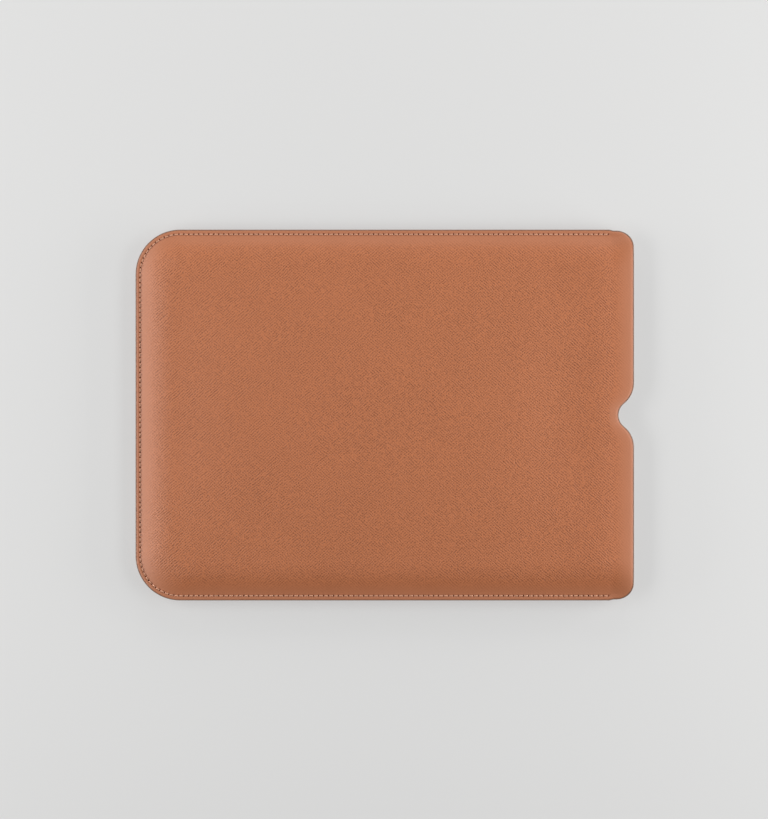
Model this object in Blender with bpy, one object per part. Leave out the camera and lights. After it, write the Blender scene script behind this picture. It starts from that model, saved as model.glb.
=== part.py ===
"""A padded leather laptop sleeve, lying on its back panel, with its open mouth towards +X.

Each panel is leather, foam and lining. All layers of a panel follow one surface, the outer face
of its leather, each at its own depth below it, so they nest with an even gap. The back panel is
the front panel mirrored about the plane between them. A lockstitch row holds the two panels
together along three sides, and edge paint covers the cut edges.
"""

import math

import bmesh
import bpy
from mathutils import Vector

MM = 0.001

# The whole sleeve, with its edge paint
LENGTH = 333.0 * MM
WIDTH = 248.0 * MM
THICKNESS = 17.5 * MM

# Layers
LEATHER = 1.2 * MM
FOAM = 1.0 * MM
LINING = 0.5 * MM
EDGE_PAINT = 0.3 * MM
GAP = 0.15 * MM
THREAD_RADIUS = 0.3 * MM

# Plan of the leather
CLOSED_CORNER_RADIUS = 29.5 * MM
MOUTH_CORNER_RADIUS = 11.0 * MM
NOTCH_DEPTH = 10.3 * MM
NOTCH_INNER_RADIUS = 10.3 * MM
NOTCH_SHOULDER_RADIUS = 17.0 * MM

# Seam and padding
FLANGE = 3.6 * MM
STITCH_INSET = 3.0 * MM
SEAM_END_FROM_MOUTH = 16.5 * MM
PLATEAU_INSET = 28.6 * MM
PLATEAU_CORNER_RADIUS = 14.0 * MM
MOUTH_ZONE = 26.5 * MM
LEAST_PADDING = 0.4  # the skived foam ends where it would be thinner than this share

# Shape of the shoulder from seam to plateau
SHOULDER_RISE_POWER = 1.1
SHOULDER_ROUND_POWER = 2.7

# Mesh steps
FLANGE_RINGS = (0.0, 0.12, 0.48, 1.0)
SHOULDER_RINGS = (0.06, 0.14, 0.25, 0.42, 0.65, 1.0)
MOUTH_STEPS = (0.0, 0.2, 0.4, 0.65, 0.85, 1.0)
SEAM_END_STEP = 3
CORNER_STEPS = 9
NOTCH_STEPS = 4
THREAD_SIDES_RESOLUTION = 1

# Places that follow from the sizes above
MID_Z = THICKNESS / 2
PAINT_STAND = GAP + EDGE_PAINT
LEATHER_LEFT = -LENGTH / 2 + PAINT_STAND
LEATHER_SIDE = WIDTH / 2 - PAINT_STAND
MOUTH_X = LENGTH / 2 - PAINT_STAND
MOUTH_ZONE_X = MOUTH_X - MOUTH_ZONE
SEAM_END_X = MOUTH_X - SEAM_END_FROM_MOUTH
FLANGE_HEIGHT = GAP / 2 + LINING + GAP + LEATHER
MOUTH_DROP = FOAM + GAP
NOTCH_HALF_WIDTH = math.sqrt(
    (NOTCH_INNER_RADIUS + NOTCH_SHOULDER_RADIUS) ** 2
    - (NOTCH_SHOULDER_RADIUS + NOTCH_DEPTH - NOTCH_INNER_RADIUS) ** 2
)
NOTCH_TURN = math.atan2(
    NOTCH_HALF_WIDTH, NOTCH_SHOULDER_RADIUS + NOTCH_DEPTH - NOTCH_INNER_RADIUS
)

# Finishes: colour, roughness
FINISHES = {
    "tan_leather": ((0.42, 0.155, 0.078), 0.55),
    "grey_foam": ((0.20, 0.20, 0.20), 0.9),
    "brown_microfibre": ((0.13, 0.075, 0.045), 0.95),
    "tan_thread": ((0.60, 0.28, 0.17), 0.6),
    "taupe_edge_paint": ((0.24, 0.17, 0.13), 0.45),
}


def clear_scene():
    for thing in list(bpy.data.objects):
        bpy.data.objects.remove(thing, do_unlink=True)


def finish(name):
    """The named finish as a material."""
    if name in bpy.data.materials:
        return bpy.data.materials[name]
    colour, roughness = FINISHES[name]
    material = bpy.data.materials.new(name)
    material.use_nodes = True
    shader = material.node_tree.nodes["Principled BSDF"]
    shader.inputs["Base Color"].default_value = (*colour, 1.0)
    shader.inputs["Roughness"].default_value = roughness
    shader.inputs["Metallic"].default_value = 0.0
    return material


def add_object(name, data, material):
    """Put the mesh or curve in the scene under its name."""
    thing = bpy.data.objects.new(name, data)
    data.materials.append(finish(material))
    bpy.context.collection.objects.link(thing)
    return thing


def smoothstep(value):
    value = min(max(value, 0.0), 1.0)
    return value * value * (3.0 - 2.0 * value)


def mouth_edge_x(y):
    """X of the leather's mouth edge at this Y: notch, straight edge, then the rounded corner."""
    y = abs(y)
    corner_start = LEATHER_SIDE - MOUTH_CORNER_RADIUS
    if y > corner_start:
        across = min(y - corner_start, MOUTH_CORNER_RADIUS)
        return MOUTH_X - MOUTH_CORNER_RADIUS + math.sqrt(MOUTH_CORNER_RADIUS**2 - across**2)
    if y >= NOTCH_HALF_WIDTH:
        return MOUTH_X
    if y > NOTCH_INNER_RADIUS * math.sin(NOTCH_TURN):
        across = NOTCH_HALF_WIDTH - y
        return MOUTH_X - NOTCH_SHOULDER_RADIUS + math.sqrt(NOTCH_SHOULDER_RADIUS**2 - across**2)
    centre = MOUTH_X - NOTCH_DEPTH + NOTCH_INNER_RADIUS
    return centre - math.sqrt(NOTCH_INNER_RADIUS**2 - y**2)


def shoulder(lift):
    """Share of the rise from the seam, where lift is 0, to the plateau, where it is 1."""
    return 1.0 - (1.0 - lift**SHOULDER_RISE_POWER) ** SHOULDER_ROUND_POWER


def mouth_drop(x):
    """How far the plateau has come down at this X, where the foam thins towards the mouth."""
    return MOUTH_DROP * smoothstep((x - MOUTH_ZONE_X) / MOUTH_ZONE)


def outer_height(x, lift):
    """Height of the leather's outer face above the plane between the panels."""
    plateau = MID_Z - mouth_drop(x)
    return FLANGE_HEIGHT + (plateau - FLANGE_HEIGHT) * shoulder(lift)


def padding(x, lift):
    """Share of the full foam thickness at this place."""
    return smoothstep(lift / SHOULDER_RINGS[2]) * (1.0 - mouth_drop(x) / MOUTH_DROP)


def u_path(left, side, radius):
    """Plan points of a U that is open towards the mouth, from +Y round the closed end to -Y."""
    points = [(MOUTH_ZONE_X, side)]
    for turn in range(CORNER_STEPS + 1):
        angle = math.pi / 2 * (1 + turn / CORNER_STEPS)
        x = left + radius + radius * math.cos(angle)
        y = side - radius + radius * math.sin(angle)
        points.append((x, y))
    return points + [(x, -y) for x, y in reversed(points)]


def flange_path(inset):
    """The U at this inset from the leather's cut edge, concentric with it."""
    return u_path(LEATHER_LEFT + inset, LEATHER_SIDE - inset, CLOSED_CORNER_RADIUS - inset)


def ring_paths():
    """(lift, U path) of each ring from the cut edge to the plateau's edge."""
    rings = [(0.0, flange_path(FLANGE * share)) for share in FLANGE_RINGS]
    fold = flange_path(FLANGE)
    plateau = u_path(
        LEATHER_LEFT + PLATEAU_INSET, LEATHER_SIDE - PLATEAU_INSET, PLATEAU_CORNER_RADIUS
    )
    for lift in SHOULDER_RINGS:
        path = [
            (x0 + (x1 - x0) * lift, y0 + (y1 - y0) * lift)
            for (x0, y0), (x1, y1) in zip(fold, plateau)
        ]
        rings.append((lift, path))
    return rings


def notch_rows():
    """Y of the rows across the notch, from its edge on the +Y side to its middle."""
    rows = []
    for step in range(NOTCH_STEPS):
        turn = NOTCH_TURN * step / NOTCH_STEPS
        rows.append(NOTCH_HALF_WIDTH - NOTCH_SHOULDER_RADIUS * math.sin(turn))
    for step in range(NOTCH_STEPS + 1):
        turn = NOTCH_TURN * (1 - step / NOTCH_STEPS)
        rows.append(NOTCH_INNER_RADIUS * math.sin(turn))
    return rows


def mouth_rows():
    """(lift, y) of every row that runs out to the mouth edge, from +Y to -Y."""
    half = [(lift, path[0][1]) for lift, path in ring_paths()]
    half += [(1.0, y) for y in notch_rows()]
    return half + [(lift, -y) for lift, y in reversed(half[:-1])]


class Surface:
    """The outer face of the front leather, over the plane between the panels."""

    def __init__(self):
        self.mesh = bmesh.new()
        self.lift = self.mesh.verts.layers.float.new("lift")
        self.known = {}
        self.add_body()
        self.add_mouth()
        self.mesh.normal_update()
        self.mesh.verts.index_update()
        self.mesh.verts.ensure_lookup_table()

    def point(self, x, y, lift):
        key = (round(x / MM, 3), round(y / MM, 3))
        if key not in self.known:
            vertex = self.mesh.verts.new((x, y, outer_height(x, lift)))
            vertex[self.lift] = lift
            self.known[key] = vertex
        return self.known[key]

    def add_grid(self, rows):
        """Quads between neighbouring rows of vertices, facing up."""
        for row, next_row in zip(rows, rows[1:]):
            for i in range(len(row) - 1):
                self.mesh.faces.new((row[i], row[i + 1], next_row[i + 1], next_row[i]))

    def add_body(self):
        """The three sewn sides, and the flat plateau that they enclose."""
        rings = [[self.point(x, y, lift) for x, y in path] for lift, path in ring_paths()]
        self.add_grid(rings)
        end = [self.point(MOUTH_ZONE_X, y, 1.0) for y in notch_rows()]
        other_end = [self.point(MOUTH_ZONE_X, -y, 1.0) for y in notch_rows()[:-1]]
        self.mesh.faces.new(rings[-1] + other_end + end[::-1])
        self.closed_rim = rings[0]

    def add_mouth(self):
        """The zone along the mouth, whose rows end on the notched and rounded edge."""
        rows = []
        for lift, y in mouth_rows():
            reach = mouth_edge_x(y) - MOUTH_ZONE_X
            rows.append([self.point(MOUTH_ZONE_X + reach * step, y, lift) for step in MOUTH_STEPS])
        self.add_grid([row[::-1] for row in rows])
        self.mouth_rim = rows[0] + [row[-1] for row in rows[1:-1]] + rows[-1][::-1]

    def seam_rim(self):
        """The cut edge along the seam, from one seam end round the closed end to the other."""
        one_end = self.mouth_rim[1 : SEAM_END_STEP + 1]
        other_end = self.mouth_rim[-SEAM_END_STEP - 1 : -1]
        return one_end[::-1] + self.closed_rim + other_end[::-1]

    def free_rim(self):
        """The cut edge that the seam leaves free, round the mouth."""
        return self.mouth_rim[SEAM_END_STEP : -SEAM_END_STEP]

    def padding(self, vertex):
        return padding(vertex.co.x, vertex[self.lift])


def place(co, side):
    """World place of a point over the plane between the panels: side is 1 in front, -1 behind."""
    return Vector((co.x, co.y, MID_Z + side * co.z))


def mesh_object(name, points, faces, side, material):
    """A smooth shaded object from points over the middle plane, mirrored for the back panel."""
    data = bpy.data.meshes.new(name)
    if side < 0:
        faces = [tuple(reversed(face)) for face in faces]
    data.from_pydata([place(point, side) for point in points], [], faces)
    data.shade_smooth()
    data.set_sharp_from_angle(angle=math.radians(35))
    return add_object(name, data, material)


def layer(name, surface, side, depths, material, least_padding=0.0):
    """One closed sheet: depths gives its two faces' depths below the leather's outer face."""
    kept = [f for f in surface.mesh.faces if min(map(surface.padding, f.verts)) >= least_padding]
    used = sorted({v.index for f in kept for v in f.verts})
    number = {index: i for i, index in enumerate(used)}
    upper, lower = [], []
    for index in used:
        vertex = surface.mesh.verts[index]
        near, far = depths(surface.padding(vertex))
        upper.append(vertex.co - vertex.normal * near)
        lower.append(vertex.co - vertex.normal * far)
    count = len(used)
    top = [tuple(number[v.index] for v in f.verts) for f in kept]
    bottom = [tuple(i + count for i in reversed(face)) for face in top]
    edges = {(face[i - 1], face[i]) for face in top for i in range(len(face))}
    rim = [(b, a, a + count, b + count) for a, b in edges if (b, a) not in edges]
    return mesh_object(name, upper + lower, top + bottom + rim, side, material)


def space(share):
    """Room between leather and lining where the foam has this share of its thickness."""
    return GAP + (FOAM + GAP) * share


def leather_depths(share):
    return 0.0, LEATHER


def foam_depths(share):
    return LEATHER + GAP, LEATHER + space(share) - GAP


def lining_depths(share):
    return LEATHER + space(share), LEATHER + space(share) + LINING


def band(name, rim, heights, side, material):
    """Edge paint along a rim that runs anticlockwise: a closed band just outside the cut edge."""
    points, faces = [], []
    for i, vertex in enumerate(rim):
        before = rim[max(i - 1, 0)].co
        after = rim[min(i + 1, len(rim) - 1)].co
        along = Vector((after.x - before.x, after.y - before.y, 0.0)).normalized()
        outward = Vector((along.y, -along.x, 0.0))
        top, bottom = heights(vertex)
        for stand, height in ((GAP, bottom), (PAINT_STAND, bottom), (PAINT_STAND, top), (GAP, top)):
            spot = vertex.co + outward * stand
            points.append(Vector((spot.x, spot.y, height)))
    for i in range(len(rim) - 1):
        for j in range(4):
            k = (j + 1) % 4
            faces.append((4 * i + k, 4 * i + j, 4 * i + 4 + j, 4 * i + 4 + k))
    last = 4 * (len(rim) - 1)
    faces += [(0, 1, 2, 3), (last + 3, last + 2, last + 1, last)]
    return mesh_object(name, points, faces, side, material)


def thread(name, side):
    """One thread of the lockstitch row, lying on the seam from one seam end to the other."""
    side_y = LEATHER_SIDE - STITCH_INSET
    path = [(SEAM_END_X, side_y), *flange_path(STITCH_INSET), (SEAM_END_X, -side_y)]
    height = FLANGE_HEIGHT + GAP + THREAD_RADIUS
    data = bpy.data.curves.new(name, "CURVE")
    data.dimensions = "3D"
    data.bevel_depth = THREAD_RADIUS
    data.bevel_resolution = THREAD_SIDES_RESOLUTION
    data.use_fill_caps = True
    spline = data.splines.new("POLY")
    spline.points.add(len(path) - 1)
    for spot, (x, y) in zip(spline.points, path):
        spot.co = (x, y, MID_Z + side * height, 1.0)
    return add_object(name, data, "tan_thread")


def build_panel(surface, word, side):
    """The three layers of one panel, and the paint on its mouth edge."""
    layer(f"{word}_leather_panel", surface, side, leather_depths, "tan_leather")
    layer(f"{word}_foam_pad", surface, side, foam_depths, "grey_foam", LEAST_PADDING)
    layer(f"{word}_lining", surface, side, lining_depths, "brown_microfibre")

    def mouth_heights(vertex):
        drop = lining_depths(surface.padding(vertex))[1]
        return vertex.co.z, vertex.co.z - drop

    band(f"{word}_mouth_edge_coat", surface.free_rim()[::-1], mouth_heights, side, "taupe_edge_paint")


def main():
    clear_scene()
    surface = Surface()
    for word, side in (("front", 1), ("back", -1)):
        build_panel(surface, word, side)

    def seam_heights(_vertex):
        return FLANGE_HEIGHT, -FLANGE_HEIGHT

    band("seam_edge_coat", surface.seam_rim(), seam_heights, 1, "taupe_edge_paint")
    thread("needle_thread", 1)
    thread("bobbin_thread", -1)
    surface.mesh.free()


main()
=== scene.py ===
"""The looks of a padded leather laptop sleeve that lies on its back panel, mouth towards +X.

Both panels follow one surface, the outer face of the front leather over the plane between the
panels. Leather, foam and lining lie at their own depths under it, and the back panel mirrors it.
"""

import functools
import math

import bpy
from mathutils import Euler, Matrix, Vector


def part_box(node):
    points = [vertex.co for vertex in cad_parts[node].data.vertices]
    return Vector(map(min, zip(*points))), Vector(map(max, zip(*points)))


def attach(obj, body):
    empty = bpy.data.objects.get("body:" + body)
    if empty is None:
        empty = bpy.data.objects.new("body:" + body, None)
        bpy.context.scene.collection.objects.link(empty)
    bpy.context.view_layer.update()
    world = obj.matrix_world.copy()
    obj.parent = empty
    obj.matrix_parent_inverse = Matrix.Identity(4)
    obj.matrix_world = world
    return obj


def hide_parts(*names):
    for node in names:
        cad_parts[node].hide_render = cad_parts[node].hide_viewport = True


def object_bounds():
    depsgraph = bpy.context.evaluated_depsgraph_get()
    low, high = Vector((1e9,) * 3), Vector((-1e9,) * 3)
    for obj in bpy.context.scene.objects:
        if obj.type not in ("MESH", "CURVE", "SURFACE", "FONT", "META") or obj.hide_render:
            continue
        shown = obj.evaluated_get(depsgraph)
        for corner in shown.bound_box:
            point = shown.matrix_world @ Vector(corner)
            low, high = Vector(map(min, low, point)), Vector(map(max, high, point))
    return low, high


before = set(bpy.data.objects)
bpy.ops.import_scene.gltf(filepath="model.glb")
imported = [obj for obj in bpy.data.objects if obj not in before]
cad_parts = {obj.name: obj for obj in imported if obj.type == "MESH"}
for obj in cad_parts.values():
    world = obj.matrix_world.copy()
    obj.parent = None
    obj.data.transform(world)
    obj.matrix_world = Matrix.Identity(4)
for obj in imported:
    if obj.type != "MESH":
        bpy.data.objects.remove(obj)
CAD_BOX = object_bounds()

bl_info = {
    "name": "Laptop sleeve",
    "version": (1, 0, 0),
    "blender": (4, 5, 0),
    "location": "View3D > Sidebar > Sleeve",
    "description": "Builds a stitched leather laptop sleeve around its packed solids",
    "category": "Object",
}

MM = 0.001


def linear(hex_colour):
    """An sRGB colour such as "AE6D4F" as linear red, green and blue."""
    channels = [int(hex_colour[i : i + 2], 16) / 255 for i in (0, 2, 4)]
    return tuple(c / 12.92 if c <= 0.04045 else ((c + 0.055) / 1.055) ** 2.4 for c in channels)


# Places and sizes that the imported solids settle
LEATHER_LOW, LEATHER_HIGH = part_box("front_leather_panel")
SEAM_LOW, SEAM_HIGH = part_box("seam_edge_coat")
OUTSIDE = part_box("back_leather_panel")[0].z
MID_Z = (LEATHER_HIGH.z + OUTSIDE) / 2
LEFT = LEATHER_LOW.x
SIDE = LEATHER_HIGH.y
MOUTH = LEATHER_HIGH.x
FLANGE_HEIGHT = SEAM_HIGH.z - MID_Z
PAINT_STAND = SEAM_HIGH.y - SIDE
SEAM_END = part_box("needle_thread")[1].x


def length_property(name, description, millimetres):
    return bpy.props.FloatProperty(
        name=name, description=description, default=millimetres * MM, unit="LENGTH", subtype="DISTANCE"
    )


def colour_property(name, description, hex_colour):
    return bpy.props.FloatVectorProperty(
        name=name, description=description, default=linear(hex_colour), subtype="COLOR", min=0, max=1
    )


class SleeveSizes(bpy.types.PropertyGroup):
    """Sizes of the sheets, the cut and the seam."""

    leather: length_property("Leather", "Thickness of the leather", 1.2)
    foam: length_property("Foam", "Thickness of the padding foam", 1.0)
    lining: length_property("Lining", "Thickness of the microfibre lining", 0.5)
    glue_line: length_property("Glue line", "Space between neighbouring sheets", 0.15)
    closed_corner: length_property("Closed corner", "Radius of the two sewn corners", 29.5)
    mouth_corner: length_property("Mouth corner", "Radius of the two corners at the mouth", 11.0)
    notch_depth: length_property("Notch depth", "Depth of the thumb notch", 10.3)
    notch_inner: length_property("Notch radius", "Radius at the bottom of the notch", 10.3)
    notch_shoulder: length_property("Notch shoulder", "Radius where the notch runs out", 17.0)
    flange: length_property("Flange", "Width of the flat sewn border", 3.35)
    plateau_inset: length_property("Plateau inset", "Cut edge to the edge of the flat middle", 28.6)
    plateau_corner: length_property("Plateau corner", "Radius of the flat middle's corners", 14.0)
    mouth_zone: length_property("Mouth zone", "Stretch where the foam thins to the mouth", 26.5)
    stitch_inset: length_property("Stitch inset", "Cut edge to the row of stitches", 2.8)
    stitch: length_property("Stitch length", "Hole to hole along the seam", 3.34)
    hole: length_property("Stitch hole", "Radius of a pricked stitch hole", 0.45)
    thread: length_property("Thread", "Diameter of the sewing thread", 0.6)
    edge_round: length_property("Edge round", "Drop of the bevelled cut edge", 0.42)
    edge_bevel: length_property("Edge bevel", "Width over which the cut edge rounds off", 1.7)
    crown: length_property("Crown", "Most that the padded front swells", 2.6)
    lip_part: length_property("Lip parting", "How far each lip stands off at the mouth", 0.8)
    lip_step: length_property("Lip step", "How far the cut steps in past the seam", 0.7)
    emboss: length_property("Emboss spacing", "Distance between the embossed lines", 1.5)


class SleeveColours(bpy.types.PropertyGroup):
    """Colours of the finishes, chosen as sRGB."""

    leather: colour_property("Leather", "Tan finish coat of the leather", "B66E47")
    # Painted sheen: a paler tan on the border, where the lamps' sheen lies on the leather
    leather_painted_sheen: colour_property("Rubbed leather", "Tan finish rubbed pale at the edges", "B98064")
    # Darker tan in the emboss's valleys and pits: partly pigment lying there, partly painted shade of the
    # relief
    leather_valley_pigment_and_shade: colour_property("Leather valleys", "Where the finish lies in the emboss", "7A4427")
    # Bare leather in the stitch holes, darkened further as painted shade for the dark inside the holes
    bare_hole_and_shade: colour_property("Stitch holes", "Bare leather inside the stitch holes", "6E2A0C")
    thread: colour_property("Thread", "Light tan sewing thread", "D49C7C")
    edge_paint: colour_property("Edge paint", "Grey-brown paint on the cut edges", "8C776A")
    lining: colour_property("Lining", "Brown microfibre", "6B5141")
    foam: colour_property("Foam", "Grey padding foam", "7B7B7B")
    floor: colour_property("Floor", "Pale floor", "8E8E8D")


def sizes():
    return bpy.context.scene.sleeve_sizes


def colours():
    return bpy.context.scene.sleeve_colours


# ---------------------------------------------------------------- surface

# Points along the seam between two stitch holes, as shares of a stitch, close round the hole
STITCH_SHARES = (0.0, 0.1, 0.19, 0.5, 0.81, 0.9)
# Rings from the cut edge inwards, as millimetres of inset on the border and as lift on the
# shoulder, and which shares of a stitch they keep: each one, each third, or only the first
FINE_FLANGE = ((0.0, 0.12, 0.35, 1.0, 1.7, 2.15, 2.5, 2.8, 3.1, 3.35), 1)
FINE_SHOULDER = ((0.014, 0.035, 0.07, 0.12, 0.18, 0.26, 0.35, 0.45, 0.56, 0.68, 0.8, 0.9), 3)
PLAIN_FLANGE = ((0.0, 0.4, 2.0, 3.35), 6)
PLAIN_SHOULDER = ((0.05, 0.1, 0.17, 0.25, 0.4, 0.6, 0.8), 6)
# Places from the last stitch to the mouth's cut edge, as shares of the way
FINE_MOUTH = (0.0, 0.06, 0.14, 0.24, 0.36, 0.5, 0.64, 0.76, 0.86, 0.93, 0.975, 1.0)
PLAIN_MOUTH = (0.0, 0.15, 0.35, 0.6, 0.85, 1.0)
# Spacing of the rows behind the notch, as a share of even spacing
NOTCH_CROWDING = 0.35
# Shape of the shoulder where it is sewn, and past the last stitch
RISE_POWER = 1.28
ROUND_POWER = 2.5
LIP_POWER = 2.2
# The lift at which the foam has its full thickness, and the share of that where the pad ends
FULL_FOAM_LIFT = 0.25
LEAST_FOAM = 0.4
# How the leather rolls down to the mouth's edge, and how much thinner it is skived there
ROLL_WIDTH = 11 * MM
ROLL_DEPTH = 0.15 * MM
SKIVE_DEPTH = 0.25 * MM
# The tops of the shoulders sink by this share of the crown, fading out this far from the mouth
SHOULDER_SINK = 0.6
MOUTH_HOLD = 60 * MM
# Stretch past the last stitch over which the cut steps in
LIP_RUN = 4 * MM
# The groove that the stitches press, the depth of a hole, and how far its bare leather and painted shade
# show
GROOVE_WIDTH = 0.7 * MM
GROOVE_DEPTH = 0.08 * MM
HOLE_DEPTH = 0.85 * MM
BARE_HOLE_AND_SHADE_SPREAD = 1.4
# Insets past this many millimetres make no difference to the finish
DEEPEST_INSET = 20.0


def smoothstep(value):
    value = min(max(value, 0.0), 1.0)
    return value * value * (3.0 - 2.0 * value)


def mouth_x(y):
    """X of the mouth's cut edge at this Y: notch, straight edge, then the rounded corner."""
    s = sizes()
    y = abs(y)
    reach = s.notch_shoulder + s.notch_depth - s.notch_inner
    half = math.sqrt((s.notch_inner + s.notch_shoulder) ** 2 - reach**2)
    corner = SIDE - s.mouth_corner
    if y > corner:
        across = min(y - corner, s.mouth_corner)
        return MOUTH - s.mouth_corner + math.sqrt(s.mouth_corner**2 - across**2)
    if y >= half:
        return MOUTH
    if y > s.notch_inner * math.sin(math.atan2(half, reach)):
        return MOUTH - s.notch_shoulder + math.sqrt(s.notch_shoulder**2 - (half - y) ** 2)
    return MOUTH - s.notch_depth + s.notch_inner - math.sqrt(s.notch_inner**2 - y**2)


def mouth_drop(x):
    """How far the plateau has come down at this X, where the foam thins towards the mouth."""
    s = sizes()
    return (s.foam + s.glue_line) * smoothstep((x - MOUTH + s.mouth_zone) / s.mouth_zone)


def padding(x, lift):
    """Share of the full foam thickness at this place."""
    s = sizes()
    return smoothstep(lift / FULL_FOAM_LIFT) * (1.0 - mouth_drop(x) / (s.foam + s.glue_line))


def plain_height(x, lift, inset):
    """Height of the outer face over the plane between the panels, before the padding swells.

    The fold beside the seam opens out past the last stitch, where nothing holds the lips down.
    """
    plateau = LEATHER_HIGH.z - MID_Z - mouth_drop(x)
    sewn = 1.0 - (1.0 - lift**RISE_POWER) ** ROUND_POWER
    free = 1.0 - (1.0 - min(inset / sizes().plateau_inset, 1.0)) ** LIP_POWER
    opened = smoothstep((x - SEAM_END) / (MOUTH - SEAM_END))
    return FLANGE_HEIGHT + (plateau - FLANGE_HEIGHT) * (sewn + (free - sewn) * opened)


def mouth_roll(x, y):
    """1 at the mouth's cut edge, falling to 0 where the leather starts to roll down to it."""
    return max(1.0 - (mouth_x(y) - x) / ROLL_WIDTH, 0.0) ** 2


def inside(x, y, left, side, radius):
    """How far a plan point lies inside an outline with two rounded corners, open at the mouth."""
    dx = left + radius - x
    dy = abs(y) - side + radius
    if dx > 0 and dy > 0:
        return radius - math.hypot(dx, dy)
    return radius - max(dx, dy)


def lift_at(x, y):
    """0 on the flange, 1 on the plateau, and the share of the way between on the shoulder."""
    s = sizes()
    in_fold = inside(x, y, LEFT + s.flange, SIDE - s.flange, s.closed_corner - s.flange)
    inset = s.plateau_inset
    in_plateau = inside(x, y, LEFT + inset, SIDE - inset, s.plateau_corner)
    if in_fold <= 0:
        return 0.0
    return 1.0 if in_plateau >= 0 else in_fold / (in_fold - in_plateau)


class Swell:
    """How much the padding lifts the front, found on a grid by a cloth simulation."""

    STEP = 6 * MM
    FRAMES = 40
    HELD_LIFT = 0.1
    CLOTH = {
        "quality": 8,
        "mass": 0.3,
        "tension_stiffness": 60,
        "compression_stiffness": 60,
        "shear_stiffness": 30,
        "bending_stiffness": 8,
        "use_pressure": True,
        "uniform_pressure_force": 0.08,
    }

    def __init__(self):
        s = sizes()
        self.low = (LEFT + s.flange, -SIDE + s.flange)
        span = (MOUTH - self.low[0], -2 * self.low[1])
        self.count = [round(length / self.STEP) for length in span]
        self.step = [length / n for length, n in zip(span, self.count)]
        spots = [
            (self.low[0] + i * self.step[0], self.low[1] + j * self.step[1])
            for j in range(self.count[1] + 1)
            for i in range(self.count[0] + 1)
        ]
        lifts = [lift_at(x, y) for x, y in spots]
        self.gain = self.simulate(spots, lifts)

    def simulate(self, spots, lifts):
        """Blow the leather up from below while the seam holds it, and read how far it rose."""
        inset = sizes().plateau_inset
        heights = [plain_height(x, lift, inset * lift) for (x, _), lift in zip(spots, lifts)]
        row = self.count[0] + 1
        faces = [
            (k, k + 1, k + 1 + row, k + row)
            for j in range(self.count[1])
            for k in range(j * row, j * row + row - 1)
        ]
        data = bpy.data.meshes.new("swell_grid")
        data.from_pydata([(x, y, z) for (x, y), z in zip(spots, heights)], [], faces)
        grid = bpy.data.objects.new("swell_grid", data)
        bpy.context.collection.objects.link(grid)
        held = grid.vertex_groups.new(name="seam")
        still = [i for i, lift in enumerate(lifts) if lift < self.HELD_LIFT or i % row == row - 1]
        held.add(still, 1.0, "REPLACE")
        cloth = grid.modifiers.new("leather", "CLOTH")
        cloth.settings.vertex_group_mass = held.name
        cloth.settings.effector_weights.gravity = 0
        for name, value in self.CLOTH.items():
            setattr(cloth.settings, name, value)
        scene = bpy.context.scene
        for number in range(1, self.FRAMES + 1):
            scene.frame_set(number)
        settled = grid.evaluated_get(bpy.context.evaluated_depsgraph_get())
        rises = [v.co.z - z for v, z in zip(settled.data.vertices, heights)]
        scene.frame_set(1)
        bpy.data.objects.remove(grid, do_unlink=True)
        bpy.data.meshes.remove(data)
        share = sizes().crown / max(rises)
        return [max(rise, 0.0) * share for rise in rises]

    def at(self, x, y):
        """The swell at a plan point, as a cubic B-spline through the grid's neighbourhood."""
        column, across = self.weights((x - self.low[0]) / self.step[0])
        row, along = self.weights((y - self.low[1]) / self.step[1])
        total = 0.0
        for j, share in enumerate(along):
            line = min(max(row + j - 1, 0), self.count[1]) * (self.count[0] + 1)
            for i, part in enumerate(across):
                total += share * part * self.gain[line + min(max(column + i - 1, 0), self.count[0])]
        return total

    @staticmethod
    def weights(place):
        """The cell that a place in grid steps lies in, and the four B-spline weights there."""
        cell = math.floor(place)
        t = place - cell
        third = (1 - t) ** 3, 3 * t**3 - 6 * t**2 + 4, -3 * t**3 + 3 * t**2 + 3 * t + 1, t**3
        return cell, [weight / 6 for weight in third]


@functools.lru_cache(maxsize=1)
def swell():
    return Swell()


def seam_length():
    """Length of the stitch row, and of its stretches: side, corner, closed end, corner, side."""
    s = sizes()
    radius = s.closed_corner - s.stitch_inset
    straight = SEAM_END - LEFT - s.closed_corner
    end = 2 * (SIDE - s.closed_corner)
    stretches = (straight, radius * math.pi / 2, end, radius * math.pi / 2, straight)
    return sum(stretches), stretches


def stitch_count():
    return round(seam_length()[0] / sizes().stitch)


def seam_spot(stitches):
    """Which stretch of the seam this many stitches along lie on, and the share of it."""
    total, stretches = seam_length()
    rest = total * stitches / stitch_count()
    for number, length in enumerate(stretches):
        if rest <= length or number == len(stretches) - 1:
            return number, min(rest / length, 1.0)
        rest -= length
    raise RuntimeError("the seam has no stretches")


def u_place(spot, left, side, radius):
    """Plan point at a spot of a U that opens to the mouth, from its +Y end round to its -Y end."""
    stretch, share = spot
    if stretch > 2:
        x, y = u_place((4 - stretch, 1 - share), left, side, radius)
        return x, -y
    if stretch == 2:
        return left, (side - radius) * (1 - 2 * share)
    if stretch == 1:
        angle = math.pi / 2 * (1 + share)
        return left + radius + radius * math.cos(angle), side - radius + radius * math.sin(angle)
    return SEAM_END + (left + radius - SEAM_END) * share, side


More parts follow.
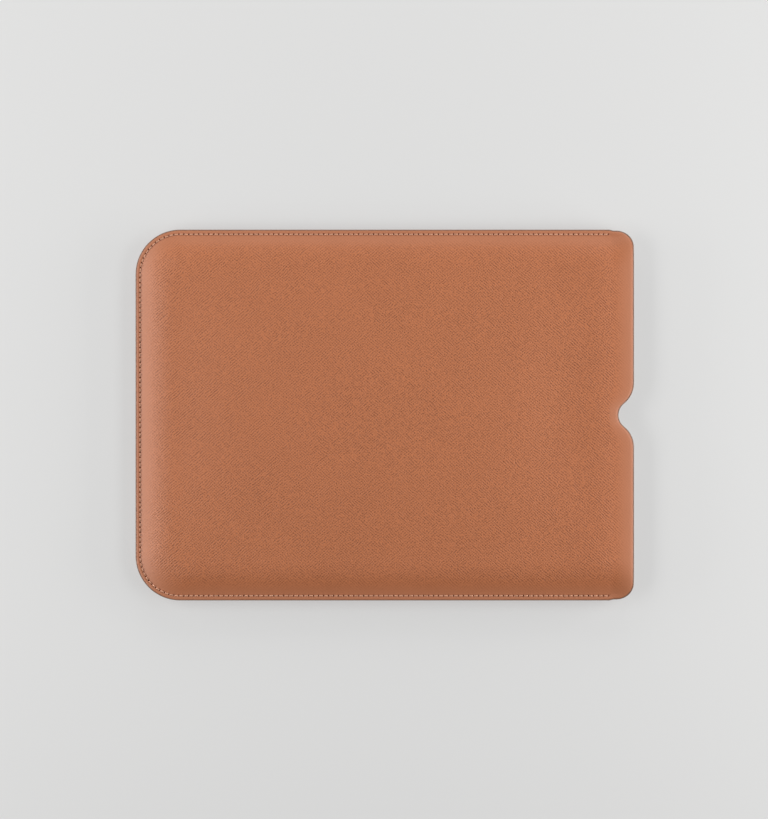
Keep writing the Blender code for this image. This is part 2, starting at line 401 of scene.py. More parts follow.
class Skin:
    """The outer face of the front leather as a mesh of rings round the seam and rows to the mouth."""

    def __init__(self, flange, shoulder, mouth, side):
        self.side = side
        self.spots, self.insets, self.lifts, self.edges, self.alongs = [], [], [], [], []
        self.faces = []
        rings = [self.flange_ring(inset * MM, flange[1]) for inset in flange[0]]
        rings += [self.shoulder_ring(lift, shoulder[1]) for lift in shoulder[0]]
        rings.append(self.shoulder_ring(1.0, len(STITCH_SHARES)))
        for outer, inner in zip(rings, rings[1:]):
            self.bridge(outer, inner)
        rows = self.mouth_rows(rings, mouth)
        self.grid([row[::-1] for row in rows])
        self.patch(rings[-1], rows[len(rings) - 1 : len(rows) - len(rings) + 1])
        self.closed_rim = rings[0]
        self.mouth_rim = rows[0] + [row[-1] for row in rows[1:-1]] + rows[-1][::-1]
        self.base = [
            Vector((x, y, self.height(x, y, lift, inset)))
            for (x, y), lift, inset in zip(self.spots, self.lifts, self.insets)
        ]
        self.normals = self.find_normals()

    def add(self, x, y, inset, lift, edge, along=-1.0):
        self.spots.append((x, y))
        self.insets.append(inset)
        self.lifts.append(lift)
        self.edges.append(edge)
        self.alongs.append(along)
        return len(self.spots) - 1

    def columns(self, skip):
        """Stitches along the seam of each column, leaving out all but every skip-th share."""
        shares = STITCH_SHARES[::skip]
        count = stitch_count()
        return [number + share for number in range(count) for share in shares] + [count]

    def flange_ring(self, inset, skip):
        """A ring on the flat border, concentric with the cut edge."""
        s = sizes()
        ring = []
        for along in self.columns(skip):
            x, y = u_place(seam_spot(along), LEFT + inset, SIDE - inset, s.closed_corner - inset)
            ring.append(self.add(x, y, inset, 0.0, inset, along))
        return ring

    def shoulder_ring(self, lift, skip):
        """A ring between the flat border and the plateau."""
        s = sizes()
        ring = []
        for along in self.columns(skip):
            spot = seam_spot(along)
            low, high = s.flange, s.plateau_inset
            x0, y0 = u_place(spot, LEFT + low, SIDE - low, s.closed_corner - low)
            x1, y1 = u_place(spot, LEFT + high, SIDE - high, s.plateau_corner)
            inset = low + (high - low) * lift
            ring.append(self.add(x0 + (x1 - x0) * lift, y0 + (y1 - y0) * lift, inset, lift, inset))
        return ring

    def bridge(self, outer, inner):
        """Faces between two rings, where the outer one may have several points for each inner one."""
        step = (len(outer) - 1) // (len(inner) - 1)
        for i in range(len(inner) - 1):
            fan = outer[i * step : (i + 1) * step + 1]
            self.faces.append((*fan, inner[i + 1], inner[i]))

    def grid(self, rows):
        for row, next_row in zip(rows, rows[1:]):
            for i in range(len(row) - 1):
                self.faces.append((row[i], row[i + 1], next_row[i + 1], next_row[i]))

    def mouth_rows(self, rings, steps):
        """Rows from the end of each ring, and from the plateau between them, to the mouth edge."""
        s = sizes()
        starts = [ring[0] for ring in rings]
        half = SIDE - s.plateau_inset
        count = stitch_count() - 2 * self.corner_stitch()
        for number in range(1, count):
            share = 1 - 2 * number / count
            y = half * share * (NOTCH_CROWDING + (1 - NOTCH_CROWDING) * share * share)
            starts.append(self.add(SEAM_END, y, s.plateau_inset, 1.0, s.plateau_inset))
        starts += [ring[-1] for ring in reversed(rings)]
        rows = []
        for start in starts:
            y, inset, lift = self.spots[start][1], self.insets[start], self.lifts[start]
            reach = mouth_x(y) - SEAM_END
            row = [start]
            for step in steps[1:]:
                x = SEAM_END + reach * step
                taper = 1 - min(inset / s.plateau_inset, 1.0)
                stepped = s.lip_step * smoothstep((x - SEAM_END) / LIP_RUN) * taper
                edge = min(inset, reach * (1 - step))
                row.append(self.add(x, y - math.copysign(stepped, y), inset, lift, edge))
            rows.append(row)
        return rows

    def corner_stitch(self):
        """The stitch nearest the middle of the closed corner."""
        total, stretches = seam_length()
        return round((stretches[0] + stretches[1] / 2) / total * stitch_count())

    def patch(self, ring, rows):
        """The plateau, as quads blended between the ring round it and the rows at its mouth end."""
        corner = self.corner_stitch()
        high = stitch_count() - 2 * corner
        at = self.spots
        top, bottom = ring[: corner + 1], ring[::-1][: corner + 1]
        far, near = ring[corner : corner + high + 1], [row[0] for row in rows]
        inset = sizes().plateau_inset
        lines = []
        for j in range(high + 1):
            v = j / high
            line = [near[j]]
            for i in range(1, corner):
                if j in (0, high):
                    line.append((top if j == 0 else bottom)[i])
                    continue
                u = i / corner
                spot = [
                    (1 - v) * at[top[i]][k]
                    + v * at[bottom[i]][k]
                    + (1 - u) * at[near[j]][k]
                    + u * at[far[j]][k]
                    - (1 - u) * ((1 - v) * at[top[0]][k] + v * at[bottom[0]][k])
                    - u * ((1 - v) * at[far[0]][k] + v * at[far[-1]][k])
                    for k in (0, 1)
                ]
                line.append(self.add(*spot, inset, 1.0, inset))
            line.append(far[j])
            lines.append(line)
        self.grid(lines)

    def height(self, x, y, lift, inset):
        """Height over the plane between the panels, with the swell and the parted lips."""
        s = sizes()
        height = plain_height(x, lift, inset) - ROLL_DEPTH * mouth_roll(x, y)
        if self.side > 0:
            held = smoothstep((MOUTH - x) / MOUTH_HOLD)
            height += swell().at(x, y) - SHOULDER_SINK * s.crown * smoothstep(lift) * held
        parted = smoothstep((x - SEAM_END) / (MOUTH - SEAM_END)) * (1 - smoothstep(lift))
        return height + s.lip_part * parted

    def find_normals(self):
        data = bpy.data.meshes.new("skin_normals")
        data.from_pydata(self.base, [], self.faces)
        normals = [n.vector.copy() for n in data.vertex_normals]
        bpy.data.meshes.remove(data)
        return normals


def hole_share(skin, index, radius):
    """1 at the middle of a stitch hole, falling steeply to 0 past this radius."""
    along = skin.alongs[index]
    if along < 0:
        return 0.0
    pitch = seam_length()[0] / stitch_count()
    away = math.hypot((along - round(along)) * pitch, skin.insets[index] - sizes().stitch_inset)
    return math.exp(-((away / radius) ** 4))


def leather_relief(skin, index):
    """How far the outer face sinks at the cut edge, along the stitch row and at its holes."""
    s = sizes()
    edge = min(skin.edges[index] / s.edge_bevel, 1.0)
    relief = s.edge_round * (1 - math.sqrt(1 - (1 - edge) ** 2))
    relief += SKIVE_DEPTH * mouth_roll(*skin.spots[index])
    if skin.alongs[index] >= 0:
        across = (skin.insets[index] - s.stitch_inset) / GROOVE_WIDTH
        relief += GROOVE_DEPTH * math.exp(-across * across)
        relief += HOLE_DEPTH * hole_share(skin, index, s.hole)
    return relief


def no_relief(_skin, _index):
    return 0.0


# Faces that meet at a greater angle than this keep a crisp edge between them
SHARP_ANGLE = math.radians(50)


def mesh_piece(name, points, faces, side, material):
    """A smooth shaded piece from points over the middle plane, mirrored for the back panel."""
    if side < 0:
        faces = [tuple(reversed(face)) for face in faces]
    data = bpy.data.meshes.new(name)
    data.from_pydata([(p.x, p.y, MID_Z + side * p.z) for p in points], [], faces)
    data.validate()
    data.shade_smooth()
    data.set_sharp_from_angle(angle=SHARP_ANGLE)
    data.materials.append(material)
    piece = bpy.data.objects.new(name, data)
    bpy.context.collection.objects.link(piece)
    return piece


def sheet_piece(name, skin, depths, material, relief=no_relief, least=0.0):
    """One closed sheet under the skin. depths gives its two faces' depths for a padding share."""
    shares = [padding(x, lift) for (x, _), lift in zip(skin.spots, skin.lifts)]
    kept = [face for face in skin.faces if min(shares[i] for i in face) >= least]
    used = sorted({i for face in kept for i in face})
    number = {index: i for i, index in enumerate(used)}
    upper, lower = [], []
    for index in used:
        near, far = depths(shares[index])
        base, normal = skin.base[index], skin.normals[index]
        upper.append(base - normal * (near + relief(skin, index)))
        lower.append(base - normal * far)
    count = len(used)
    top = [tuple(number[i] for i in face) for face in kept]
    bottom = [tuple(i + count for i in reversed(face)) for face in top]
    borders = {(face[i - 1], face[i]) for face in top for i in range(len(face))}
    rim = [(b, a, a + count, b + count) for a, b in borders if (b, a) not in borders]
    piece = mesh_piece(name, upper + lower, top + bottom + sorted(rim), skin.side, material)
    edge = piece.data.attributes.new("edge_mm", "FLOAT", "POINT")
    # The holes' mask marks bare leather and the painted shade in and round each stitch hole
    bare_hole_and_shade = piece.data.attributes.new("bare_hole_and_shade", "FLOAT", "POINT")
    for i, index in enumerate(used):
        edge.data[i].value = min(skin.edges[index] / MM, DEEPEST_INSET)
        bare_hole_and_shade.data[i].value = hole_share(skin, index, BARE_HOLE_AND_SHADE_SPREAD * sizes().hole)
    return piece


def room(share):
    """Room between leather and lining where the foam has this share of its thickness."""
    s = sizes()
    return s.glue_line + (s.foam + s.glue_line) * share


def leather_depths(_share):
    return 0.0, sizes().leather


def foam_depths(share):
    s = sizes()
    return s.leather + s.glue_line, s.leather + room(share) - s.glue_line


def lining_depths(share):
    s = sizes()
    return s.leather + room(share), s.leather + room(share) + s.lining


@functools.lru_cache(maxsize=4)
def fine_skin(side):
    return Skin(FINE_FLANGE, FINE_SHOULDER, FINE_MOUTH, side)


@functools.lru_cache(maxsize=4)
def plain_skin(side):
    return Skin(PLAIN_FLANGE, PLAIN_SHOULDER, PLAIN_MOUTH, side)


# -------------------------------------------------------------- materials


class Shader:
    """A node material being built."""

    def __init__(self, name):
        self.material = bpy.data.materials.new(name)
        self.material.use_nodes = True
        self.tree = self.material.node_tree
        self.surface = self.tree.nodes["Principled BSDF"]

    def node(self, kind, values=None, links=None, **settings):
        """Add a node with its settings, its sockets' values and the links into its sockets."""
        node = self.tree.nodes.new(kind)
        for key, value in settings.items():
            setattr(node, key, value)
        self.fill(node, values, links)
        return node

    def fill(self, node, values=None, links=None):
        for key, value in (values or {}).items():
            node.inputs[key].default_value = value
        for key, source in (links or {}).items():
            self.tree.links.new(source, node.inputs[key])

    def noise(self, place, size, detail=2.0, roughness=0.5):
        """A cloudy pattern whose lumps are about this size."""
        values = {"Scale": 1 / size, "Detail": detail, "Roughness": roughness}
        return self.node("ShaderNodeTexNoise", values, {"Vector": place}).outputs["Fac"]

    def ramp(self, value, **ends):
        """The value mapped between ends such as from_min, clamped."""
        values = {key.replace("_", " ").title(): end for key, end in ends.items()}
        return self.node("ShaderNodeMapRange", values, {"Value": value}).outputs["Result"]

    def bump(self, height, strength, depth):
        """The normal of a surface that this pattern raises by up to this depth."""
        values = {"Strength": strength, "Distance": depth}
        return self.node("ShaderNodeBump", values, {"Height": height}).outputs["Normal"]

    def blend(self, factor, values, links=None):
        """Colour A turning into colour B as the factor goes from 0 to 1."""
        links = {"Factor": factor, **(links or {})}
        return self.node("ShaderNodeMix", values, links, data_type="RGBA").outputs["Result"]

    def finish(self, values, links):
        """Set the surface's own sockets, and link the ones that a pattern drives."""
        self.fill(self.surface, values, links)
        return self.material


def rgba(colour, share=1.0):
    """The colour with alpha 1, darkened to this share of itself."""
    return (*(share * channel for channel in colour), 1.0)


# A wave texture's bands are this far apart, in metres, at scale 1
WAVE_PERIOD = math.pi / 10
EMBOSS_ANGLE = math.radians(48)


@functools.lru_cache(maxsize=1)
def embossed_leather():
    """Corrected-grain cowhide, plated with a fine cross-hatch and finished in tan pigment.

    The plate leaves rows of fine diagonal ridges that cross at about a right angle, so light from
    one side picks out one family of them. The satin pigment lies darker in the valleys, and painted shade
    adds to it.
    The border is pressed smooth and painted paler as a painted sheen, and the stitch holes show bare
    leather darkened with painted shade.
    The real ridges are about 1 mm apart, and are drawn coarser so that they show.
    """
    shader = Shader("embossed_tan_leather")
    place = shader.node("ShaderNodeTexCoord").outputs["Object"]
    patches = shader.noise(place, 9 * MM, detail=3.0, roughness=0.6)
    ridges = []
    for turn in (EMBOSS_ANGLE, -EMBOSS_ANGLE):
        turned = shader.node(
            "ShaderNodeMapping", {"Rotation": (0, 0, turn)}, {"Vector": place}, vector_type="POINT"
        ).outputs["Vector"]
        wave = shader.node(
            "ShaderNodeTexWave",
            {
                "Scale": WAVE_PERIOD / sizes().emboss,
                "Distortion": 5.0,
                "Detail": 3.0,
                "Detail Scale": 0.6,
                "Detail Roughness": 0.6,
            },
            {"Vector": turned},
        )
        ridges.append(wave.outputs["Fac"])
    across = shader.node("ShaderNodeSeparateXYZ", links={"Vector": place}).outputs["X"]
    drift = shader.node(
        "ShaderNodeMath", {1: 0.6}, {0: across, 2: patches}, operation="MULTIPLY_ADD"
    ).outputs["Value"]
    choice = shader.ramp(drift, from_min=0.3, from_max=0.7)
    hatch = shader.node(
        "ShaderNodeMix", links={"Factor": choice, "A": ridges[0], "B": ridges[1]}
    ).outputs["Result"]
    pits = shader.noise(place, 0.9 * MM, detail=1.0)
    pitted = shader.ramp(pits, from_min=0.38, from_max=0.56, to_min=0.3)
    valley = shader.node("ShaderNodeMath", {0: 1.0}, {1: hatch}, operation="SUBTRACT").outputs["Value"]
    pit = shader.node("ShaderNodeMath", links={0: valley, 1: pitted}, operation="MULTIPLY")
    grain = shader.node(
        "ShaderNodeMath", {0: 1.0}, {1: pit.outputs["Value"]}, operation="SUBTRACT"
    ).outputs["Value"]
    inset = shader.node("ShaderNodeAttribute", attribute_name="edge_mm").outputs["Fac"]
    plated = shader.ramp(inset, from_min=6.0, from_max=15.0, to_min=0.12)
    height = shader.node("ShaderNodeMix", {"A": 0.7}, {"Factor": plated, "B": grain}).outputs["Result"]
    clouds = shader.noise(place, 30 * MM, detail=4.0)
    shade = shader.node(
        "ShaderNodeMath", {1: 0.2}, {0: clouds, 2: height}, operation="MULTIPLY_ADD"
    ).outputs["Value"]
    # Painted sheen: paler towards the cut edge, out to 12 mm, for the lamps' sheen on the border
    painted_sheen = shader.ramp(inset, from_max=12.0, to_min=0.55, to_max=0.0)
    finish = shader.blend(
        painted_sheen, {"A": rgba(colours().leather), "B": rgba(colours().leather_painted_sheen)}
    )
    # The valleys and pits take the darker colour: partly pigment, partly painted shade of the emboss
    pigment = shader.blend(shade, {"A": rgba(colours().leather_valley_pigment_and_shade)}, {"B": finish})
    # Stitch holes turn dark: bare leather, and painted shade for the dark inside them
    bare_hole_and_shade = shader.node("ShaderNodeAttribute", attribute_name="bare_hole_and_shade").outputs["Fac"]
    pricked = shader.blend(bare_hole_and_shade, {"B": rgba(colours().bare_hole_and_shade)}, {"A": pigment})
    gloss = shader.ramp(grain, to_min=0.54, to_max=0.44)
    gloss = shader.node("ShaderNodeMix", {"A": 0.4}, {"Factor": plated, "B": gloss}).outputs["Result"]
    gloss = shader.node("ShaderNodeMix", {"B": 0.95}, {"Factor": bare_hole_and_shade, "A": gloss}).outputs["Result"]
    bump = shader.bump(height, 1.0, 0.11 * MM)
    return shader.finish({"IOR": 1.5}, {"Base Color": pricked, "Roughness": gloss, "Normal": bump})


@functools.lru_cache(maxsize=1)
def edge_paint():
    """Acrylic edge paint, brushed on in coats and buffed: a satin skin with a slight ripple."""
    shader = Shader("satin_edge_paint")
    place = shader.node("ShaderNodeTexCoord").outputs["Object"]
    ripple = shader.noise(place, 2 * MM)
    bump = shader.bump(ripple, 0.3, 0.05 * MM)
    paint = colours().edge_paint
    # Painted shade: the paint darkens in the hollows of its ripple
    ripple_shaded = shader.blend(ripple, {"A": rgba(paint, 0.82), "B": rgba(paint)})
    return shader.finish({"Roughness": 0.42, "IOR": 1.49}, {"Base Color": ripple_shaded, "Normal": bump})


# Plies in the thread, and the millimetres of thread in one turn of them
THREAD_PLIES = 3
THREAD_LAY = 0.9


@functools.lru_cache(maxsize=1)
def bonded_thread():
    """Bonded polyester thread: three plies twisted together, which catch the light in turn."""
    shader = Shader("bonded_polyester_thread")
    run = shader.node("ShaderNodeAttribute", attribute_name="run_mm").outputs["Fac"]
    turn = shader.node("ShaderNodeAttribute", attribute_name="turn").outputs["Fac"]
    plies = shader.node("ShaderNodeMath", {1: THREAD_PLIES * math.tau}, {0: turn}, operation="MULTIPLY")
    twist = shader.node(
        "ShaderNodeMath",
        {1: math.tau / THREAD_LAY},
        {0: run, 2: plies.outputs["Value"]},
        operation="MULTIPLY_ADD",
    )
    strand = shader.node("ShaderNodeMath", links={0: twist.outputs["Value"]}, operation="SINE")
    bump = shader.bump(strand.outputs["Value"], 0.6, 0.06 * MM)
    # Painted shade: the thread darkens in the grooves between its plies
    depth = shader.ramp(strand.outputs["Value"], from_min=-1.0, from_max=1.0)
    dye = colours().thread
    dye_and_hollow_shade = shader.blend(depth, {"A": rgba(dye, 0.72), "B": rgba(dye)})
    return shader.finish(
        {"Roughness": 0.5, "IOR": 1.55, "Sheen Weight": 0.25}, {"Base Color": dye_and_hollow_shade, "Normal": bump}
    )


@functools.lru_cache(maxsize=1)
def brushed_microfibre():
    """Polyester microfibre suede, brushed: a soft matt nap that marks in lighter and darker drifts."""
    shader = Shader("brushed_microfibre")
    place = shader.node("ShaderNodeTexCoord").outputs["Object"]
    nap = shader.noise(place, 0.7 * MM, detail=3.0, roughness=0.7)
    drift = shader.noise(place, 18 * MM, detail=3.0)
    tone = shader.node(
        "ShaderNodeMath", {1: 0.5}, {0: nap, 2: drift}, operation="MULTIPLY_ADD"
    ).outputs["Value"]
    # Darker where the nap sinks, which is painted shade in the nap, and in drifts, which are the fabric's
    # own tone
    tone = shader.ramp(tone, from_min=0.5, from_max=1.0)
    dye = colours().lining
    dye_and_hollow_shade = shader.blend(tone, {"A": rgba(dye, 0.7), "B": rgba(dye)})
    bump = shader.bump(nap, 0.7, 0.2 * MM)
    return shader.finish(
        {"Roughness": 0.95, "Sheen Weight": 0.4, "Sheen Roughness": 0.4},
        {"Base Color": dye_and_hollow_shade, "Normal": bump},
    )


@functools.lru_cache(maxsize=1)
def closed_cell_foam():
    """Cross-linked polyethylene foam, skived at the edges: matt, with fine closed cells."""
    shader = Shader("closed_cell_foam")
    place = shader.node("ShaderNodeTexCoord").outputs["Object"]
    cells = shader.node(
        "ShaderNodeTexVoronoi", {"Scale": 1 / (0.9 * MM)}, {"Vector": place}
    ).outputs["Distance"]
    tone = shader.blend(cells, {"A": rgba(colours().foam), "B": rgba(colours().foam, 0.8)})
    bump = shader.bump(cells, 0.5, 0.15 * MM)
    return shader.finish({"Roughness": 0.9}, {"Base Color": tone, "Normal": bump})


# Light that the table gives off, as a share of white
TABLE_GLOW = 0.41


@functools.lru_cache(maxsize=1)
def stage_paper():
    """Translucent paper on a light table: dead matt, lit evenly from below so that shadows stay faint."""
    shader = Shader("light_table_paper")
    place = shader.node("ShaderNodeTexCoord").outputs["Object"]
    bump = shader.bump(shader.noise(place, 4 * MM), 0.05, 0.05 * MM)
    return shader.finish(
        {
            "Base Color": rgba(colours().floor),
            "Roughness": 0.95,
            "IOR": 1.3,
            "Emission Color": (1.0, 1.0, 1.0, 1.0),
            "Emission Strength": TABLE_GLOW,
        },
        {"Normal": bump},
    )


# ----------------------------------------------------------------- pieces


def declare_sheet(piece, node):
    """Attach a piece to the root body and hide the solid that it stands for."""
    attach(piece, "root")
    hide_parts(node)


THREAD_FACETS = 8
# A thread pulled tight is wider than it is high, as shares of its radius
THREAD_WIDE = 1.1
THREAD_HIGH = 0.85


def tube(name, path, side, material):
    """A round thread along a path of (point, sideways direction) pairs, with closed ends."""
    radius = sizes().thread / 2
    points, faces, runs, turns = [], [], [], []
    run = 0.0
    for i, (spot, sideways) in enumerate(path):
        if i:
            run += (spot - path[i - 1][0]).length
        ahead = path[min(i + 1, len(path) - 1)][0] - path[max(i - 1, 0)][0]
        up = sideways.cross(ahead).normalized()
        for k in range(THREAD_FACETS):
            angle = math.tau * k / THREAD_FACETS
            out = sideways * math.cos(angle) * THREAD_WIDE + up * math.sin(angle) * THREAD_HIGH
            points.append(spot + out * radius)
            runs.append(run)
            turns.append(k / THREAD_FACETS)
    for i in range(len(path) - 1):
        for k in range(THREAD_FACETS):
            a, b = THREAD_FACETS * i + k, THREAD_FACETS * i + (k + 1) % THREAD_FACETS
            faces.append((a, b, b + THREAD_FACETS, a + THREAD_FACETS))
    last = THREAD_FACETS * (len(path) - 1)
    faces.append(tuple(range(THREAD_FACETS))[::-1])
    faces.append(tuple(last + k for k in range(THREAD_FACETS)))
    piece = mesh_piece(name, points, faces, side, material)
    run_mm = piece.data.attributes.new("run_mm", "FLOAT", "POINT")
    turn = piece.data.attributes.new("turn", "FLOAT", "POINT")
    run_mm.data.foreach_set("value", [value / MM for value in runs])
    turn.data.foreach_set("value", turns)
    return piece


# One stitch, from hole to hole: shares of its length, and heights over the border in millimetres
STITCH_SHAPE = (
    (0.0, -1.1),
    (0.105, -1.0),
    (0.165, -0.45),
    (0.205, 0.0),
    (0.28, 0.2),
    (0.5, 0.28),
    (0.72, 0.2),
    (0.795, 0.0),
    (0.835, -0.45),
    (0.895, -1.0),
)


def stitch_path():
    """The thread's way over the border and down into each hole, with its sideways directions."""
    s = sizes()
    inset = s.stitch_inset
    path = []
    for number in range(stitch_count()):
        for share, height in STITCH_SHAPE:
            x, y = u_place(seam_spot(number + share), LEFT + inset, SIDE - inset, s.closed_corner - inset)
            path.append(Vector((x, y, FLANGE_HEIGHT + height * MM)))
    path.append(Vector((SEAM_END, -SIDE + inset, FLANGE_HEIGHT + STITCH_SHAPE[0][1] * MM)))
    pairs = []
    for i, spot in enumerate(path):
        ahead = path[min(i + 1, len(path) - 1)] - path[max(i - 1, 0)]
        pairs.append((spot, Vector((ahead.y, -ahead.x, 0.0)).normalized()))
    return pairs


# The paint's section, as points round it in degrees from straight out, and how far it laps back
PAINT_TURNS = (-80, -62, -44, -24, -7, 7, 24, 44, 62, 80)
PAINT_LIP = 0.3 * MM
# Powers under 1 that square the section off, outwards and up
PAINT_BULGE = 0.6
PAINT_RISE = 0.75
# The crease between the sewn layers: its depth, and how far round it reaches in degrees
PAINT_CREASE = 0.1 * MM
CREASE_TURN = 7
# How far the film reaches past the leather's faces, and where it lies against the cut edge
PAINT_OVERLAP = 0.03 * MM
PAINT_INNER = 0.04 * MM
PAINT_FOOT = 0.7


def paint_piece(name, rim, heights, side, crease):
    """A rounded band of edge paint along a rim that runs anticlockwise round the sleeve."""
    points, faces = [], []
    ring = len(PAINT_TURNS) + 2
    for i, spot in enumerate(rim):
        before, after = rim[max(i - 1, 0)], rim[min(i + 1, len(rim) - 1)]
        along = Vector((after.x - before.x, after.y - before.y, 0.0)).normalized()
        outward = Vector((along.y, -along.x, 0.0))
        top, bottom = heights[i]
        middle, half = (top + bottom) / 2, (top - bottom) / 2 + PAINT_OVERLAP
        for degrees in PAINT_TURNS:
            turn = math.radians(degrees)
            out = math.cos(turn) ** PAINT_BULGE * (PAINT_STAND + PAINT_LIP) - PAINT_LIP
            if abs(degrees) <= CREASE_TURN:
                out -= crease
            rise = math.copysign(abs(math.sin(turn)) ** PAINT_RISE, turn) * half
            points.append(Vector((spot.x, spot.y, middle + rise)) + outward * out)
        for rise in (PAINT_FOOT * half, -PAINT_FOOT * half):
            points.append(Vector((spot.x, spot.y, middle + rise)) + outward * PAINT_INNER)
    for i in range(len(rim) - 1):
        for j in range(ring):
            k = (j + 1) % ring
            faces.append((ring * i + k, ring * i + j, ring * (i + 1) + j, ring * (i + 1) + k))
    last = ring * (len(rim) - 1)
    faces.append(tuple(range(ring)))
    faces.append(tuple(last + j for j in range(ring))[::-1])
    return mesh_piece(name, points, faces, side, edge_paint())


class SLEEVE_OT_leather(bpy.types.Operator):
    """Build the two leather panels, with bevelled edges and pricked stitch holes"""

    bl_idname = "sleeve.leather"
    bl_label = "Leather panels"

    def execute(self, _context):
        for word, side in (("front", 1), ("back", -1)):
            piece = sheet_piece(
                f"{word}_leather", fine_skin(side), leather_depths, embossed_leather(), leather_relief
            )
            declare_sheet(piece, f"{word}_leather_panel")
        return {"FINISHED"}


class SLEEVE_OT_padding(bpy.types.Operator):
    """Build the two skived foam sheets behind the leather"""

    bl_idname = "sleeve.padding"
    bl_label = "Foam padding"

    def execute(self, _context):
        for word, side in (("front", 1), ("back", -1)):
            skin = plain_skin(side)
            piece = sheet_piece(
                f"{word}_padding", skin, foam_depths, closed_cell_foam(), least=LEAST_FOAM
            )
            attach(piece, "root")
            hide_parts(f"{word}_foam_pad")
        return {"FINISHED"}


class SLEEVE_OT_lining(bpy.types.Operator):
    """Build the two microfibre linings, cut flush with the leather"""

    bl_idname = "sleeve.lining"
    bl_label = "Lining"

    def execute(self, _context):
        for word, side in (("front", 1), ("back", -1)):
            piece = sheet_piece(f"{word}_microfibre", plain_skin(side), lining_depths, brushed_microfibre())
            declare_sheet(piece, f"{word}_lining")
        return {"FINISHED"}


class SLEEVE_OT_stitching(bpy.types.Operator):
    """Sew the seam: one thread on each face that dips into every hole"""

    bl_idname = "sleeve.stitching"
    bl_label = "Stitching"

    def execute(self, _context):
        for name, side in (("needle", 1), ("bobbin", -1)):
            piece = tube(f"{name}_stitches", stitch_path(), side, bonded_thread())
            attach(piece, "root")
            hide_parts(f"{name}_thread")
        return {"FINISHED"}


class SLEEVE_OT_edges(bpy.types.Operator):
    """Paint the sewn edge, and the cut edges of the mouth and its notch"""

    bl_idname = "sleeve.edges"
    bl_label = "Edge paint"

    def execute(self, _context):
        skin = fine_skin(1)
        rim = [skin.base[i] for i in skin.closed_rim[::3]]
        heights = [(FLANGE_HEIGHT, -FLANGE_HEIGHT)] * len(rim)
        paints = [(paint_piece("seam_edge_paint", rim, heights, 1, PAINT_CREASE), "seam_edge_coat")]
        for word, side in (("front", 1), ("back", -1)):
            skin = fine_skin(side)
            rim, heights = [], []
            for index in skin.mouth_rim[::-1]:
                base = skin.base[index]
                deep = lining_depths(padding(base.x, skin.lifts[index]))[1]
                rim.append(base)
                skived = SKIVE_DEPTH * mouth_roll(base.x, base.y)
                heights.append((base.z - skived, base.z - deep / skin.normals[index].z))
            name = f"{word}_mouth_edge"
            paints.append((paint_piece(f"{name}_paint", rim, heights, side, 0.0), f"{name}_coat"))
        for piece, node in paints:
            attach(piece, "root")
            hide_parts(node)
        return {"FINISHED"}


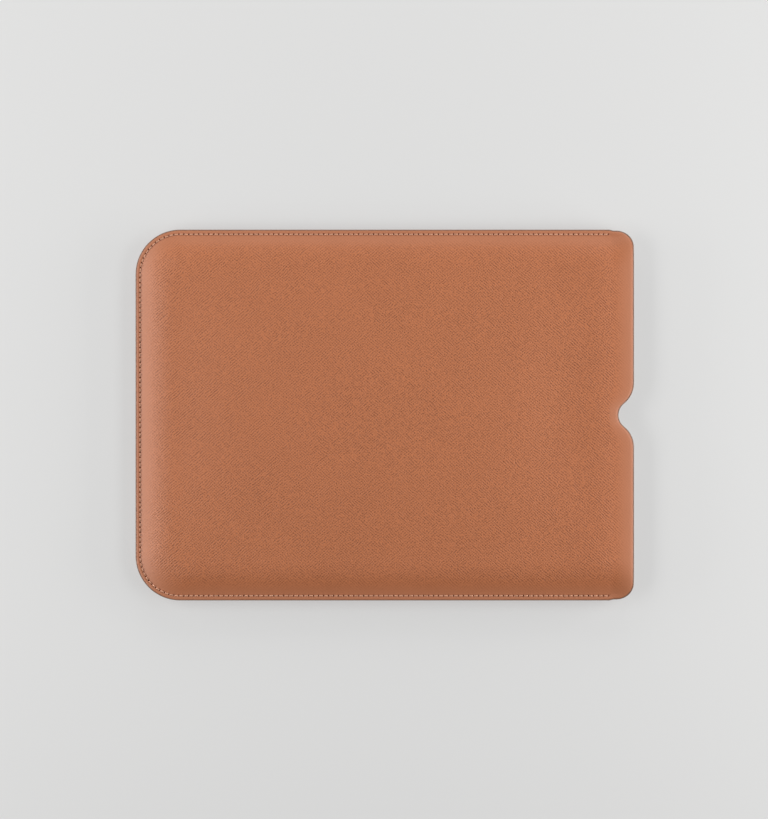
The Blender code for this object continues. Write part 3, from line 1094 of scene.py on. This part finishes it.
class SLEEVE_OT_stage(bpy.types.Operator):
    """Set the pale floor, the soft boxes and the camera straight above"""

    bl_idname = "sleeve.stage"
    bl_label = "Stage"

    # Name, degrees round from +X, degrees up, width in metres, power in watts
    LAMPS = (
        ("left_low_soft_box", 180, 12, 1.0, 7.2),
        ("left_high_soft_box", 180, 48, 1.0, 5.0),
        ("right_low_soft_box", 0, 12, 1.0, 12.6),
        ("right_high_soft_box", 0, 48, 1.0, 3.8),
        ("top_soft_box", 90, 19, 1.2, 5.5),
    )
    # Metres from the middle of the floor to each lamp, and from top to bottom of its panel
    LAMP_REACH = 1.0
    LAMP_DEPTH = 0.35
    # Strength of the light from all round
    AMBIENT = 0.05
    # Plan point and height in metres of the camera, and what it takes in at the seam's height
    CAMERA_AIM = (-0.3 * MM, 3.7 * MM)
    CAMERA_RISE = 2.0
    FRAME_HEIGHT = 547.8 * MM
    SENSOR = 36.0
    # The floor lies just under the sleeve, so that no two faces share a plane
    FLOOR_HALF = 4.0
    FLOOR_DROP = 0.02 * MM

    def execute(self, context):
        half = self.FLOOR_HALF
        data = bpy.data.meshes.new("floor")
        corners = ((-half, -half), (half, -half), (half, half), (-half, half))
        level = CAD_BOX[0][2] - self.FLOOR_DROP
        data.from_pydata([(x, y, level) for x, y in corners], [], [(0, 1, 2, 3)])
        data.materials.append(stage_paper())
        floor = bpy.data.objects.new("floor", data)
        context.collection.objects.link(floor)
        for name, round_x, up, width, power in self.LAMPS:
            lamp = bpy.data.lights.new(name, "AREA")
            lamp.shape = "RECTANGLE"
            lamp.size, lamp.size_y, lamp.energy = width, self.LAMP_DEPTH, power
            stand = bpy.data.objects.new(name, lamp)
            turn = Euler((0.0, math.radians(-up), math.radians(round_x)))
            stand.location = Vector((self.LAMP_REACH, 0.0, 0.0))
            stand.location.rotate(turn)
            stand.rotation_euler = (-stand.location).to_track_quat("-Z", "Y").to_euler()
            context.collection.objects.link(stand)
        self.light_room(context)
        self.place_camera(context)
        return {"FINISHED"}

    def light_room(self, context):
        """Even white light from all round, and plain colours with no film look."""
        world = bpy.data.worlds.new("studio")
        world.use_nodes = True
        background = world.node_tree.nodes["Background"]
        background.inputs["Color"].default_value = (1.0, 1.0, 1.0, 1.0)
        background.inputs["Strength"].default_value = self.AMBIENT
        context.scene.world = world
        context.scene.view_settings.view_transform = "Standard"

    def place_camera(self, context):
        """A long lens straight above, which takes in 548 mm from top to bottom at the seam."""
        data = bpy.data.cameras.new("camera")
        data.sensor_width = self.SENSOR
        data.lens = self.SENSOR * (self.CAMERA_RISE - MID_Z) / self.FRAME_HEIGHT
        camera = bpy.data.objects.new("camera", data)
        camera.location = (*self.CAMERA_AIM, self.CAMERA_RISE)
        context.collection.objects.link(camera)
        context.scene.camera = camera


OPERATORS = (
    SLEEVE_OT_stage,
    SLEEVE_OT_leather,
    SLEEVE_OT_padding,
    SLEEVE_OT_lining,
    SLEEVE_OT_stitching,
    SLEEVE_OT_edges,
)


class SLEEVE_PT_panel(bpy.types.Panel):
    """The steps that build the sleeve, and its sizes and colours"""

    bl_idname = "SLEEVE_PT_panel"
    bl_label = "Laptop sleeve"
    bl_space_type = "VIEW_3D"
    bl_region_type = "UI"
    bl_category = "Sleeve"

    def draw(self, context):
        column = self.layout.column(align=True)
        for operator in OPERATORS:
            column.operator(operator.bl_idname, text=operator.bl_label)
        for group in (context.scene.sleeve_sizes, context.scene.sleeve_colours):
            box = self.layout.box()
            for name in group.bl_rna.properties.keys():
                if name not in ("rna_type", "name"):
                    box.prop(group, name)


CLASSES = (SleeveSizes, SleeveColours, *OPERATORS, SLEEVE_PT_panel)


def register():
    for cls in CLASSES:
        bpy.utils.register_class(cls)
    bpy.types.Scene.sleeve_sizes = bpy.props.PointerProperty(type=SleeveSizes)
    bpy.types.Scene.sleeve_colours = bpy.props.PointerProperty(type=SleeveColours)


def unregister():
    del bpy.types.Scene.sleeve_colours
    del bpy.types.Scene.sleeve_sizes
    for cls in reversed(CLASSES):
        bpy.utils.unregister_class(cls)


def main():
    register()
    bpy.ops.sleeve.stage()
    bpy.ops.sleeve.leather()
    bpy.ops.sleeve.padding()
    bpy.ops.sleeve.lining()
    bpy.ops.sleeve.stitching()
    bpy.ops.sleeve.edges()


if __name__ == "__main__":
    main()
